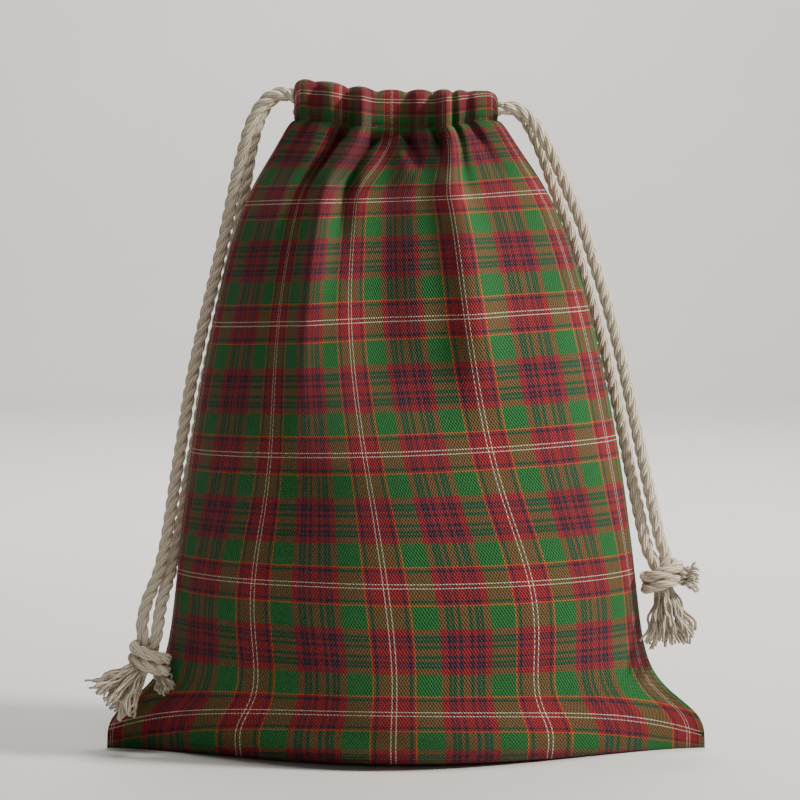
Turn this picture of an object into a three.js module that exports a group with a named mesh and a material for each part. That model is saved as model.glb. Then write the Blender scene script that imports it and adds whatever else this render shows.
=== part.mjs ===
// A drawstring gift sack that stands on its base. Two cloth panels are sewn together along the sides and the
// bottom. Round the mouth each panel has a casing, and two drawcords run right round both casings: each one
// leaves on its own side, where its two tails are tied in a knot and fray into a tassel.
// Millimetres, +Z up. The origin is the middle of the base, X runs along the bottom seam and -Y is the front.
import * as THREE from "three";

// Driving dimensions.
const CORNER_HALF = 150; // half the flat width: the sack is 300 wide from corner to corner
const BODY_HALF = 119; // half width just above the corners
const NECK_HALF = 50.5; // half width of the gathered neck
const BODY_DEPTH = 64; // how far the filled panels bulge from the side seams
const BASE_DEPTH = 42; // half depth of the flat base
const SEAM_FORWARD = 26; // the bottom seam bows forward under the front, because the sack leans back
const NECK_DEPTH = 20; // half depth of the gathered neck
const NECK_X = -5; // the neck gathers a little left of the middle
const NECK_Y = 20; // and it leans back
const LEAN_START = 70; // height at which it starts to lean
const PANEL_TOP = 314; // height of the panels' gathered top edge
const BASE_ROUND = 26; // height of the rounding above the base
const CORNER_RISE = 28; // height at which the corners have flared out half way
const CLOTH = 2; // wall thickness, which stands for the cloth with its folds
const GAP = 0.15; // half the gap between pieces that touch

const CORD = 6.5; // cord diameter
const CORD_SPREAD = 12; // the cords lie this far in front of and behind the neck's middle
const CASING_HEIGHT = 19;
const CASING_HALF = 38; // half length of the closed part of a casing
const CASING_OUTER = 3.5; // gathered cloth outside the cords
const CASING_INNER = 2; // and inside them
const CORD_PLAY = 0.6; // room round the cords in the casing
const HEM_EDGE = 2 * CORD_PLAY; // how far a slit hem's lips reach past the middle of the cord
const EXIT_LENGTH = 3.5; // a cord shows this much before its tail starts

const CASING_BOTTOM = PANEL_TOP + 2 * GAP;
const CASING_MIDDLE = CASING_BOTTOM + CASING_HEIGHT / 2;
const CORD_STEP = CORD / 2 + 0.2; // the two cords lie one above the other, this far from the casing's middle

const COLUMNS = 28; // of each panel's mesh
const BASE_ROWS = 3;
const WALL_ROWS = 22;
const CORD_SIDES = 8;

const cloth = new THREE.MeshStandardMaterial({ color: 0x7d2a2c, roughness: 0.9, metalness: 0 });
const lining = new THREE.MeshStandardMaterial({ color: 0x5c3b2c, roughness: 0.95, metalness: 0 });
const cotton = new THREE.MeshStandardMaterial({ color: 0xd9cfbf, roughness: 0.95, metalness: 0 });
const thread = new THREE.MeshStandardMaterial({ color: 0x7a1f24, roughness: 0.8, metalness: 0 });

const sack = new THREE.Group();

function add(name, geometry, material) {
  const mesh = new THREE.Mesh(geometry, material);
  mesh.name = name;
  sack.add(mesh);
  return mesh;
}

// The sack's outline, by height. taper is 1 at the base and 0 at the neck, and flare is 1 at the corners' tips.
const taper = (z) => (1 - Math.min(1, z / PANEL_TOP) ** 1.7) ** 0.6;
const flare = (z) => 1 / (1 + (z / CORNER_RISE) ** 4);
const rise = (z) => Math.max(0, (z - LEAN_START) / (PANEL_TOP - LEAN_START)) ** 2;
const centreX = (z) => NECK_X * rise(z);
const seamY = (z) => NECK_Y * rise(z);
const halfWidth = (z) =>
  NECK_HALF + (BODY_HALF - NECK_HALF) * taper(z) + (CORNER_HALF - BODY_HALF) * flare(z);

function halfDepth(z) {
  const full = NECK_DEPTH + (BODY_DEPTH - NECK_DEPTH) * taper(z);
  const rounding = Math.sqrt(1 - (1 - Math.min(1, z / BASE_ROUND)) ** 2);
  return BASE_DEPTH + (full - BASE_DEPTH) * (z < BASE_ROUND ? rounding : 1);
}

// How much of the depth is left at a share t of the half width: full and round above, thin in the corners.
function bulge(t, z) {
  const sharpness = 0.72 - 0.3 * Math.min(1, z / PANEL_TOP) ** 3 + flare(z);
  return Math.max(0, 1 - t * t) ** sharpness;
}

// How far forward the bottom seam lies at a share t of the half width.
const seamBow = (t) => -SEAM_FORWARD * Math.max(0, 1 - t * t) ** 2;

// A point of a panel. side is -1 for the front and 1 for the back, t runs from seam to seam, out is the share of
// the way from the bottom seam to the wall, and inset is how far inside the outer face the point lies.
function panelPoint(side, t, z, out, inset) {
  const wall = side * (halfDepth(z) - inset) * bulge(t, z);
  return new THREE.Vector3(
    centreX(z) + (halfWidth(z) - inset) * t,
    seamY(z) + side * GAP + out * wall + (1 - out) * seamBow(t),
    z,
  );
}

// Rows of points from the bottom seam out to the base's edge, then up the wall to the top edge.
function panelRows(side, inset) {
  const rows = [];
  const row = (z, out) =>
    Array.from({ length: COLUMNS + 1 }, (_, i) => {
      const t = Math.sin((Math.PI / 2) * ((2 * i) / COLUMNS - 1));
      return panelPoint(side, t, z, out, inset);
    });
  for (let j = 0; j < BASE_ROWS; j++) rows.push(row(inset, j / BASE_ROWS));
  for (let j = 0; j <= WALL_ROWS; j++) {
    const up = (1 - Math.cos((Math.PI * j) / WALL_ROWS)) / 2;
    rows.push(row(inset + (PANEL_TOP - inset) * up, 1));
  }
  return rows;
}

function geometryOf(points, triangles, inward) {
  const order = inward ? [0, 2, 1] : [0, 1, 2];
  const position = triangles.flatMap((t) => order.flatMap((k) => points[t[k]].toArray()));
  const geometry = new THREE.BufferGeometry();
  geometry.setAttribute("position", new THREE.Float32BufferAttribute(position, 3));
  geometry.computeVertexNormals();
  return geometry;
}

// A closed shell between two grids of points with the same rows and columns.
function shell(outer, inner, inward) {
  const rows = outer.length;
  const columns = outer[0].length;
  const points = [...outer.flat(), ...inner.flat()];
  const at = (layer, j, i) => layer * rows * columns + j * columns + i;
  const triangles = [];
  const quad = (a, b, c, d) => triangles.push([a, b, c], [a, c, d]);
  for (let j = 0; j < rows - 1; j++) {
    for (let i = 0; i < columns - 1; i++) {
      quad(at(0, j, i), at(0, j, i + 1), at(0, j + 1, i + 1), at(0, j + 1, i));
      quad(at(1, j, i), at(1, j + 1, i), at(1, j + 1, i + 1), at(1, j, i + 1));
    }
    quad(at(0, j, 0), at(0, j + 1, 0), at(1, j + 1, 0), at(1, j, 0));
    const last = columns - 1;
    quad(at(0, j, last), at(1, j, last), at(1, j + 1, last), at(0, j + 1, last));
  }
  for (let i = 0; i < columns - 1; i++) {
    quad(at(0, 0, i), at(1, 0, i), at(1, 0, i + 1), at(0, 0, i + 1));
    const top = rows - 1;
    quad(at(0, top, i), at(0, top, i + 1), at(1, top, i + 1), at(1, top, i));
  }
  return geometryOf(points, triangles, inward);
}

// A closed solid through a list of four-cornered sections.
function strip(sections) {
  const points = sections.flat();
  const triangles = [];
  const quad = (a, b, c, d) => triangles.push([a, b, c], [a, c, d]);
  for (let j = 0; j < sections.length - 1; j++) {
    for (let k = 0; k < 4; k++) {
      const next = (k + 1) % 4;
      quad(4 * j + k, 4 * j + next, 4 * j + 4 + next, 4 * j + 4 + k);
    }
  }
  const end = 4 * (sections.length - 1);
  quad(3, 2, 1, 0);
  quad(end, end + 1, end + 2, end + 3);
  return geometryOf(points, triangles, false);
}

// A profile drawn in Y and Z, swept along X.
function sweepX(shape, fromX, toX) {
  const geometry = new THREE.ExtrudeGeometry(shape, { depth: toX - fromX, bevelEnabled: false });
  const basis = new THREE.Matrix4().makeBasis(
    new THREE.Vector3(0, 1, 0),
    new THREE.Vector3(0, 0, 1),
    new THREE.Vector3(1, 0, 0),
  );
  return geometry.applyMatrix4(basis).translate(fromX, 0, 0);
}

function panels() {
  add("front_panel", shell(panelRows(-1, 0), panelRows(-1, CLOTH), false), cloth);
  add("back_panel", shell(panelRows(1, 0), panelRows(1, CLOTH), true), cloth);
}

// The turned-in edges of the two panels, overlocked together inside each side and along the bottom.
function seams() {
  const width = 7;
  const half = 0.8;
  const from = 30;
  const to = PANEL_TOP - 3;
  const steps = 24;
  for (const [name, side] of [["left_side_seam", -1], ["right_side_seam", 1]]) {
    const sections = [];
    for (let j = 0; j <= steps; j++) {
      const z = from + ((to - from) * j) / steps;
      const outer = centreX(z) + side * (halfWidth(z) - CLOTH - 1.5);
      const xs = [Math.min(outer, outer - side * width), Math.max(outer, outer - side * width)];
      const y = seamY(z);
      sections.push([
        new THREE.Vector3(xs[0], y - half, z),
        new THREE.Vector3(xs[1], y - half, z),
        new THREE.Vector3(xs[1], y + half, z),
        new THREE.Vector3(xs[0], y + half, z),
      ]);
    }
    add(name, strip(sections), lining);
  }
  const sections = [];
  const reach = 0.8;
  const low = CLOTH + 2 * GAP;
  for (let j = 0; j <= steps; j++) {
    const t = reach * ((2 * j) / steps - 1);
    const x = CORNER_HALF * t;
    const y = seamBow(t);
    sections.push([
      new THREE.Vector3(x, y - half, low),
      new THREE.Vector3(x, y + width - half, low),
      new THREE.Vector3(x, y + width - half, low + 2 * half),
      new THREE.Vector3(x, y - half, low + 2 * half),
    ]);
  }
  add("bottom_seam", strip(sections), lining);
}

// One casing's section about its cords. outward is -1 for the front casing and 1 for the back one.
function casingShape(outward) {
  const room = CORD / 2 + CORD_PLAY;
  const outer = outward * (room + CASING_OUTER);
  const inner = -outward * (room + CASING_INNER);
  const [low, high] = [Math.min(outer, inner), Math.max(outer, inner)];
  const round = 2.5;
  const half = CASING_HEIGHT / 2;
  const shape = new THREE.Shape();
  shape.moveTo(low, -half);
  shape.lineTo(high, -half);
  shape.lineTo(high, half - round);
  shape.absarc(high - round, half - round, round, 0, Math.PI / 2, false);
  shape.lineTo(low + round, half);
  shape.absarc(low + round, half - round, round, Math.PI / 2, Math.PI, false);
  shape.closePath();
  const tunnel = CORD_STEP + CORD / 2 + CORD_PLAY / 2;
  const hole = new THREE.Path();
  hole.moveTo(-room, -tunnel);
  hole.lineTo(-room, tunnel);
  hole.lineTo(room, tunnel);
  hole.lineTo(room, -tunnel);
  hole.closePath();
  shape.holes.push(hole);
  return shape;
}

// A slit hem is the casing's turned edge at a side slit, open towards the inside so that a cord can cross there.
function hemShape(outward) {
  const room = CORD / 2 + CORD_PLAY;
  const tunnel = CORD_STEP + CORD / 2 + CORD_PLAY / 2;
  const half = CASING_HEIGHT / 2;
  const outer = outward * (room + CASING_OUTER);
  const edge = -outward * HEM_EDGE;
  const wall = outward * room;
  const shape = new THREE.Shape();
  shape.moveTo(outer, -half);
  shape.lineTo(edge, -half);
  shape.lineTo(edge, -tunnel);
  shape.lineTo(wall, -tunnel);
  shape.lineTo(wall, tunnel);
  shape.lineTo(edge, tunnel);
  shape.lineTo(edge, half);
  shape.lineTo(outer, half);
  shape.closePath();
  return shape;
}

function casings() {
  const seamBar = { length: 10, across: 2, tall: 2 };
  const stitching = { thick: 0.6, tall: 1, above: 1.6 };
  for (const [face, outward] of [["front", -1], ["back", 1]]) {
    const y = NECK_Y + outward * CORD_SPREAD;
    const casing = sweepX(casingShape(outward), NECK_X - CASING_HALF, NECK_X + CASING_HALF);
    add(face + "_casing", casing.translate(0, y, CASING_MIDDLE), cloth);
    const [start, end] = [CASING_HALF + 2 * GAP, NECK_HALF];
    const left = sweepX(hemShape(outward), NECK_X - end, NECK_X - start);
    add("left_" + face + "_slit_hem", left.translate(0, y, CASING_MIDDLE), cloth);
    const right = sweepX(hemShape(outward), NECK_X + start, NECK_X + end);
    add("right_" + face + "_slit_hem", right.translate(0, y, CASING_MIDDLE), cloth);
    const row = new THREE.BoxGeometry(2 * CASING_HALF, stitching.thick, stitching.tall);
    const outer = CORD / 2 + CORD_PLAY + CASING_OUTER + 2 * GAP + stitching.thick / 2;
    row.translate(NECK_X, y + outward * outer, CASING_BOTTOM + stitching.above);
    add(face + "_casing_stitching", row, thread);
  }
  for (const [name, side] of [["left_bar_tack", -1], ["right_bar_tack", 1]]) {
    const bar = new THREE.BoxGeometry(seamBar.across, seamBar.length, seamBar.tall);
    bar.translate(NECK_X + side * (NECK_HALF - 1), NECK_Y, CASING_BOTTOM + seamBar.tall / 2);
    add(name, bar, thread);
  }
}

function tube(path, steps) {
  const section = new THREE.Shape();
  for (let k = 0; k < CORD_SIDES; k++) {
    const angle = (2 * Math.PI * k) / CORD_SIDES;
    const [a, b] = [(CORD / 2) * Math.cos(angle), (CORD / 2) * Math.sin(angle)];
    if (k) section.lineTo(a, b);
    else section.moveTo(a, b);
  }
  section.closePath();
  return new THREE.ExtrudeGeometry(section, { steps, bevelEnabled: false, extrudePath: path });
}

// The part of a drawcord inside the casings: in along one casing, round the far slit and back along the other.
// side is -1 for the left cord and 1 for the right one.
function loopPath(side, z) {
  const exitX = NECK_X + side * (NECK_HALF + EXIT_LENGTH);
  const turnX = NECK_X - side * (CASING_HALF - 1);
  const path = new THREE.CurvePath();
  const at = (x, y) => new THREE.Vector3(x, NECK_Y + y, z);
  path.add(new THREE.LineCurve3(at(exitX, -CORD_SPREAD), at(turnX, -CORD_SPREAD)));
  const arc = [];
  const arcSteps = 16;
  for (let k = 0; k <= arcSteps; k++) {
    const angle = (Math.PI * k) / arcSteps;
    arc.push(at(turnX - side * CORD_SPREAD * Math.sin(angle), -CORD_SPREAD * Math.cos(angle)));
  }
  path.add(new THREE.CatmullRomCurve3(arc));
  path.add(new THREE.LineCurve3(at(turnX, CORD_SPREAD), at(exitX, CORD_SPREAD)));
  return path;
}

// The tails' routes from the casing to the knot: X, Y and Z of points laid by hand, first the front tail's.
const LEFT_TAILS = {
  front: [
    [-64, 8, 327], [-70, 8.5, 323.5], [-76, 9.5, 314.5], [-81, 11, 299.5], [-85.5, 12.5, 281.5],
    [-90.5, 13.5, 258], [-96, 14, 235], [-102, 13.5, 210], [-107.5, 12, 184], [-112, 10.5, 157],
    [-116, 8.5, 132], [-119.5, 5, 108], [-123.5, 1, 89], [-129.5, -5.5, 73], [-131, -11, 60.5],
  ],
  back: [
    [-64, 32, 327], [-69, 31.5, 323.5], [-74, 30.5, 314.5], [-78, 29, 299.5], [-81, 27.5, 281.5],
    [-85, 26, 258], [-90, 24.5, 235], [-95.5, 23, 210], [-101, 21.5, 184], [-105.5, 19, 157],
    [-110, 16, 132], [-114, 11.5, 108], [-118, 6.5, 89], [-122, -5, 73], [-123.5, -12.5, 60.5],
  ],
};
const RIGHT_TAILS = {
  front: [
    [54, 8, 320], [60, 8.5, 316.5], [67, 9.5, 307.5], [74, 10.5, 294.5], [81, 11, 278.5],
    [88, 11.5, 262], [94, 11, 243.5], [100, 10, 224.5], [105.5, 8.5, 204], [110.5, 6.5, 182.5],
    [115, 4, 161], [119.5, 1.5, 139], [123.5, -1, 120], [127, -3.5, 104], [129, -4.5, 98],
  ],
  back: [
    [54, 32, 320], [59, 31.5, 316.5], [64.5, 30.5, 307.5], [70, 29, 294.5], [75.5, 27.5, 278.5],
    [82, 25.5, 262], [88, 23.5, 243.5], [93.5, 21.5, 224.5], [99, 19, 204], [104, 16, 182.5],
    [108.5, 12.5, 161], [112.5, 8.5, 139], [116, 4, 121], [119, -1.5, 106], [121, -4, 99],
  ],
};

// Each knot takes in both tails, and the frayed ends leave it as a tassel.
const KNOTS = {
  left: {
    centre: new THREE.Vector3(-127, -13, 47),
    radii: new THREE.Vector3(10.5, 9, 10),
    tassel: new THREE.Vector3(-0.72, -0.1, -0.68),
  },
  right: {
    centre: new THREE.Vector3(127.5, -6, 87),
    radii: new THREE.Vector3(12, 9, 9),
    tassel: new THREE.Vector3(0.05, -0.12, -0.99),
  },
};
const TASSEL_LENGTH = 25;
const TASSEL_START = 10.5; // from the knot's middle, a little more than the knot's radius there
const TASSEL_NARROW = 5;
const TASSEL_WIDE = 12;

function drawcord(side) {
  const name = side < 0 ? "left" : "right";
  const z = CASING_MIDDLE - side * CORD_STEP;
  add(name + "_drawcord", tube(loopPath(side, z), 76), cotton);
  const tails = side < 0 ? LEFT_TAILS : RIGHT_TAILS;
  for (const [face, y] of [["front", -CORD_SPREAD], ["back", CORD_SPREAD]]) {
    const startX = NECK_X + side * (NECK_HALF + EXIT_LENGTH + 2 * GAP);
    const start = new THREE.Vector3(startX, NECK_Y + y, z);
    const route = [start, ...tails[face].map((p) => new THREE.Vector3(...p))];
    add(name + "_" + face + "_tail", tube(new THREE.CatmullRomCurve3(route), 44), cotton);
  }
  const { centre, radii, tassel } = KNOTS[name];
  const knot = new THREE.SphereGeometry(1, 16, 12).scale(...radii.toArray());
  add(name + "_knot", knot, cotton).position.copy(centre);
  const profile = [
    [0, 0], [TASSEL_NARROW, 0], [TASSEL_NARROW + 1.5, TASSEL_LENGTH * 0.3],
    [TASSEL_WIDE, TASSEL_LENGTH], [0, TASSEL_LENGTH],
  ].map(([r, h]) => new THREE.Vector2(r, h));
  const tuft = add(name + "_tassel", new THREE.LatheGeometry(profile, 16), cotton);
  const direction = tassel.clone().normalize();
  tuft.quaternion.setFromUnitVectors(new THREE.Vector3(0, 1, 0), direction);
  tuft.position.copy(centre).addScaledVector(direction, TASSEL_START + 1);
}

panels();
seams();
casings();
drawcord(-1);
drawcord(1);

export default sack;
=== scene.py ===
# The looks of a tartan drawstring gift sack, in metres and in the CAD model's frame.
# +Z is up, X runs along the bottom seam, and -Y is the front.
import math
import random

import bpy
import numpy as np
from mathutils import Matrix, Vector


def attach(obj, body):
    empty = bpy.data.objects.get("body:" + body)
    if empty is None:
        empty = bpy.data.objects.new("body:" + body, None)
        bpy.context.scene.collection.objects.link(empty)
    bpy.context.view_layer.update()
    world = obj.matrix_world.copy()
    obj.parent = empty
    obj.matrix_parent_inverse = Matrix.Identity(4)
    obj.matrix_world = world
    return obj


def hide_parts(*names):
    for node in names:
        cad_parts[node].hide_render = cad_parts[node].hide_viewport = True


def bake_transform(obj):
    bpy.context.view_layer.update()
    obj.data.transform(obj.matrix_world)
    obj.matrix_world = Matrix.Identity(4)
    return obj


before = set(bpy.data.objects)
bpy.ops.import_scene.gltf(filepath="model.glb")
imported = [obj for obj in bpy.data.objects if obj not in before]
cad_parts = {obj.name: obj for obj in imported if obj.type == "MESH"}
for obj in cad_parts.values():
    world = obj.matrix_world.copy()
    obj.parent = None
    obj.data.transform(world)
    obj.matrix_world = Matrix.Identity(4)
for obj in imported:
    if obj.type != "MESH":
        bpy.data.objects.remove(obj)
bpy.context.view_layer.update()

MM = 0.001

# The sack, with the same sizes as the CAD model.
CORNER_HALF = 150 * MM
BODY_HALF = 119 * MM
NECK_HALF = 50.5 * MM
BODY_DEPTH = 64 * MM
BASE_DEPTH = 42 * MM
SEAM_FORWARD = 26 * MM
NECK_DEPTH = 20 * MM
NECK_X = -5 * MM
NECK_Y = 20 * MM
LEAN_START = 70 * MM
PANEL_TOP = 314 * MM
BASE_ROUND = 26 * MM
CORNER_RISE = 28 * MM

CORD = 6.5 * MM
CORD_SPREAD = 12 * MM
CASING_HEIGHT = 19 * MM
CASING_HALF = 38 * MM
CASING_BOTTOM = PANEL_TOP + 0.3 * MM
CASING_MIDDLE = CASING_BOTTOM + CASING_HEIGHT / 2
CORD_STEP = CORD / 2 + 0.2 * MM
CORD_REACH = CORD_SPREAD + CORD / 2 + 0.5 * MM  # how far the casings' faces keep from the neck's middle
EXIT = NECK_HALF + 3.5 * MM  # where a cord leaves the casing, from the neck's middle
RIM_HEIGHT = 20.5 * MM  # of the casing's folded rim above the panels
RIM_ROUND = 4.5 * MM
SLIT_TURN = 1 * MM  # how far inside the casing's end a cord turns back

# The rope.
STRANDS = 3
STRAND_SIDES = 12
STRAND_RADIUS = 0.26  # of the rope's width
STRAND_OFFSET = 0.245  # of the rope's width, from its middle to a strand's
LAY = 21 * MM  # the length of one full turn of the strands
STEP = 1.5 * MM  # from ring to ring
SPAN_POINTS = 24  # of a smooth line, between two points of its route
SQUEEZE = 0.12  # how much thinner the casing presses the cords
KNOT_POINTS = 80
KNOT_TURNS = 1.9
YARN_POINTS = 14  # along each frayed yarn
YARN_ROOT = 5 * MM  # where the frayed yarns start, from the knot's middle

# The check: it repeats every SETT_ACROSS along the weft and every SETT_UP along the warp.
SETT_ACROSS = 75 * MM
SETT_UP = 63.6 * MM
YARN = 0.36 * MM
DOT_ACROSS = 0.82 * MM  # the weave's raised dots lie in staggered rows, twice this apart along a row
DOT_UP = 1.3 * MM  # and this far from row to row
CHECK_ACROSS = 6 * MM  # where the check starts along the weft, and along the warp
CHECK_UP = 16.5 * MM
FLAT_HALF = 150 * MM  # half the panel's flat width
BUNCHING = 1.25  # how much more cloth the casing holds than its height shows

COLUMNS = 144  # of each panel's mesh, which is even, so that a column runs down the middle
BASE_ROWS = 10
WALL_ROWS = 150
FACE_ROWS = 14  # of a casing's outer face, and of its inner one
RIM_ROWS = 10
TOP_ROW = BASE_ROWS + WALL_ROWS  # the panel's last row, at its gathered top edge

# The sewing.
STITCH_ROW = TOP_ROW + 2
STITCH = 2.4 * MM
STITCH_GAP = 0.7 * MM
STITCH_POINTS = 7
THREAD = 0.5 * MM
SEAM_WIDTH = 7 * MM
SEAM_THICK = 1.6 * MM
SEAM_INSET = 3.5 * MM
TACK_LENGTH = 9.2 * MM
TACK_BOTTOM = PANEL_TOP - 0.4 * MM
TACK_INSET = 1 * MM
TACK_STITCHES = 15

# The cloth simulation, which moves nothing yet.
SETTLE_FRAMES = 16
MOST_SETTLING = 6 * MM  # the farthest that it may move a point

# The left half of the sack is at -X and the right one at +X. A panel that faces the front is at -Y.
SIDE_NAMES = {-1: "left", 1: "right"}
FACINGS = {"front": -1, "back": 1}


# ---------------------------------------------------------------- camera

def make_camera():
    distance = 1.35
    elevation = math.radians(4)
    frame_width = 398 * MM  # what the camera sees across at the sack's middle
    target = Vector((-3 * MM, 0, 175 * MM))
    data = bpy.data.cameras.new("camera")
    data.sensor_width = 36
    data.lens = data.sensor_width * distance / frame_width
    camera = bpy.data.objects.new("camera", data)
    back = Vector((0, -math.cos(elevation), math.sin(elevation)))
    camera.location = target + distance * back
    camera.rotation_euler = back.to_track_quat("Z", "Y").to_euler()
    bpy.context.scene.collection.objects.link(camera)
    bpy.context.scene.camera = camera


# ---------------------------------------------------------------- meshes

def new_object(name, points, faces, uvs=None):
    """A mesh object. uvs gives each point's place on its material, where it has one."""
    mesh = bpy.data.meshes.new(name)
    mesh.from_pydata([tuple(p) for p in points], [], [tuple(f) for f in faces])
    mesh.polygons.foreach_set("use_smooth", [True] * len(mesh.polygons))
    if uvs is not None:
        corners = np.empty(len(mesh.loops), int)
        mesh.loops.foreach_get("vertex_index", corners)
        layer = mesh.uv_layers.new(name="cloth")
        layer.data.foreach_set("uv", np.asarray(uvs, float)[corners].ravel())
    mesh.update()
    piece = bpy.data.objects.new(name, mesh)
    bpy.context.scene.collection.objects.link(piece)
    return piece


def grid_faces(rows, columns, closed=False):
    """The quads of a grid of points, row by row. A closed grid joins its last column to its first."""
    across = columns if closed else columns - 1
    faces = []
    for j in range(rows - 1):
        for i in range(across):
            k = (i + 1) % columns
            low, high = j * columns, (j + 1) * columns
            faces.append((low + i, low + k, high + k, high + i))
    return faces


def tube_faces(rings, sides):
    """The faces of a tube's rings of points, with both ends closed."""
    faces = grid_faces(rings, sides, closed=True)
    faces.append(list(reversed(range(sides))))
    faces.append([(rings - 1) * sides + k for k in range(sides)])
    return faces


def join(shapes):
    """Several shapes' points, faces and UVs as one shape."""
    points, faces, uvs = [], [], []
    for shape_points, shape_faces, shape_uvs in shapes:
        first = len(points)
        points += list(shape_points)
        faces += [[first + k for k in face] for face in shape_faces]
        uvs += list(shape_uvs)
    return points, faces, uvs


def dress(piece, material, slot, *nodes):
    """Gives a piece its material and hides the CAD nodes that it stands for; the slot is not used."""
    piece.data.materials.append(material)
    if nodes:
        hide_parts(*nodes)


# ---------------------------------------------------------------- the sack's surface

def smooth(x, low, high):
    """0 below low, 1 above high, and smooth between."""
    t = np.clip((x - low) / (high - low), 0, 1)
    return t * t * (3 - 2 * t)


def bell(x, width):
    """1 at 0, and near 0 from about twice the width."""
    return np.exp(-((x / width) ** 2))


def taper(z):
    """How the body narrows, from 1 at the base to 0 at the neck."""
    return (1 - np.minimum(1, z / PANEL_TOP) ** 1.7) ** 0.6


def flare(z):
    """How the flat corners reach out at the base, from 1 there to 0 above them."""
    return 1 / (1 + (z / CORNER_RISE) ** 4)


def rise(z):
    """How far the sack leans at a height, from 0 to 1 at the neck."""
    return np.maximum(0, (z - LEAN_START) / (PANEL_TOP - LEAN_START)) ** 2


def half_width(z):
    shoulder = 1 - 0.35 * bell(z - PANEL_TOP, 25 * MM)
    body = (BODY_HALF - NECK_HALF) * taper(z) * shoulder
    return NECK_HALF + body + (CORNER_HALF - BODY_HALF) * flare(z)


def half_depth(z):
    fullness = 1 - np.minimum(1, z / PANEL_TOP) ** 2.4
    full = NECK_DEPTH + (BODY_DEPTH - NECK_DEPTH) * fullness
    rounding = np.sqrt(1 - (1 - np.minimum(1, z / BASE_ROUND)) ** 2)
    return BASE_DEPTH + (full - BASE_DEPTH) * rounding


def bulge(t, z):
    """A level cut's outline: its depth at t as a share of its depth in the middle."""
    squareness = 0.2 * np.minimum(1, z / PANEL_TOP) ** 3 + 0.34 * smooth(z, 285 * MM, PANEL_TOP)
    return np.maximum(0, 1 - t * t) ** (0.66 - squareness + flare(z))


def sag(t, z):
    """How far the gathered neck hangs below its left end."""
    neck = 4.5 * MM * smooth(t, -1, -0.05) - 4.5 * MM * smooth(t, 0.3, 1)
    return neck * smooth(z, 255 * MM, PANEL_TOP)


def rim_height(t):
    """How high a casing stands above the panels: less towards the right end."""
    return RIM_HEIGHT - 0.9 * MM * smooth(t, -1, 0) - 5.1 * MM * smooth(t, 0.3, 1)


# The pleats of the gathered neck: where the creases between the puffs lie, from -1 at the left end to 1 at
# the right one, and how deep each is in mm.
FRONT_PLEATS = [
    (-1.04, 1.5), (-0.80, 2.2), (-0.47, 4.4), (-0.19, 4.4), (0.10, 4.6),
    (0.36, 4.4), (0.56, 3.6), (0.70, 1.8), (1.04, 1.5),
]
BACK_PLEATS = [
    (-1.04, 1.5), (-0.72, 3.6), (-0.44, 4.2), (-0.10, 4.6),
    (0.18, 4.0), (0.50, 4.4), (0.78, 3.0), (1.04, 1.5),
]

# The folds that hang from the pleats. Each is its place across the neck and lower down, then its width there
# and lower down, its height in mm (below 0 is a crease), and where it starts to fade and where it ends, as
# heights in mm.
FRONT_FOLDS = [
    (-0.80, -0.82, 0.05, 0.07, -2.5, 312, 280),
    (-0.47, -0.60, 0.055, 0.07, -9.5, 285, 205),
    (-0.19, -0.36, 0.055, 0.075, -10.5, 285, 215),
    (0.10, 0.18, 0.05, 0.055, -8.5, 306, 288),
    (0.36, 0.33, 0.045, 0.05, -7.0, 306, 284),
    (0.56, 0.47, 0.035, 0.045, -6.0, 298, 258),
    (0.70, 0.75, 0.05, 0.08, -3.0, 305, 262),
    (-0.33, -0.50, 0.07, 0.085, 8.5, 240, 150),
    (-0.64, -0.76, 0.09, 0.10, 4.0, 290, 235),
    (0.50, 0.38, 0.07, 0.12, 9.5, 220, 150),
    (-0.05, -0.12, 0.10, 0.17, -8.0, 232, 158),
]
BACK_FOLDS = [
    (-0.72, -0.70, 0.05, 0.09, -5.0, 300, 225),
    (-0.44, -0.48, 0.05, 0.10, -6.5, 280, 175),
    (-0.10, -0.06, 0.05, 0.08, -6.0, 306, 250),
    (0.18, 0.26, 0.05, 0.11, -7.0, 275, 160),
    (0.50, 0.58, 0.05, 0.09, -5.6, 300, 230),
    (0.78, 0.80, 0.05, 0.08, -4.0, 306, 262),
    (-0.58, -0.60, 0.10, 0.15, 4.5, 250, 150),
    (0.34, 0.43, 0.10, 0.15, 5.5, 250, 140),
    (0.04, 0.10, 0.10, 0.14, 4.0, 260, 160),
]


def pleat_relief(t, pleats):
    """The puffs between the creases, as how far in the cloth lies from their crests."""
    places = np.array([place for place, _ in pleats])
    depths = np.array([depth for _, depth in pleats]) * MM
    k = np.clip(np.searchsorted(places, t) - 1, 0, len(places) - 2)
    share = (t - places[k]) / (places[k + 1] - places[k])
    arch = np.clip(4 * share * (1 - share), 0, 1) ** 0.55
    return (arch - 1) * np.interp(t, places, depths)


def fold_relief(t, z, folds):
    """How far the folds move the cloth outwards."""
    relief = np.zeros(np.broadcast(t, z).shape)
    down = smooth(-z, -PANEL_TOP, -284 * MM)
    for neck_at, low_at, neck_wide, low_wide, height, fade, end in folds:
        at = neck_at + (low_at - neck_at) * down
        wide = neck_wide + (low_wide - neck_wide) * down
        relief += height * MM * bell(t - at, wide) * smooth(z, end * MM, fade * MM)
    return relief * np.maximum(0, 1 - t ** 4)


def belly_relief(t, z, facing):
    """Slack in the filled part: a soft ledge where the filling ends, and shallow dents round it."""
    ledge = 3.4 * MM * bell(z - (152 * MM + 12 * MM * t), 17 * MM) * bell(t + 0.15, 0.42)
    dent = -3.6 * MM * bell(z - 186 * MM, 20 * MM) * bell(t - 0.02, 0.24)
    tilt = -2.0 * MM * bell(z - 95 * MM, 30 * MM) * bell(t - 0.42 * facing, 0.24)
    return ledge + dent + tilt


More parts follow.
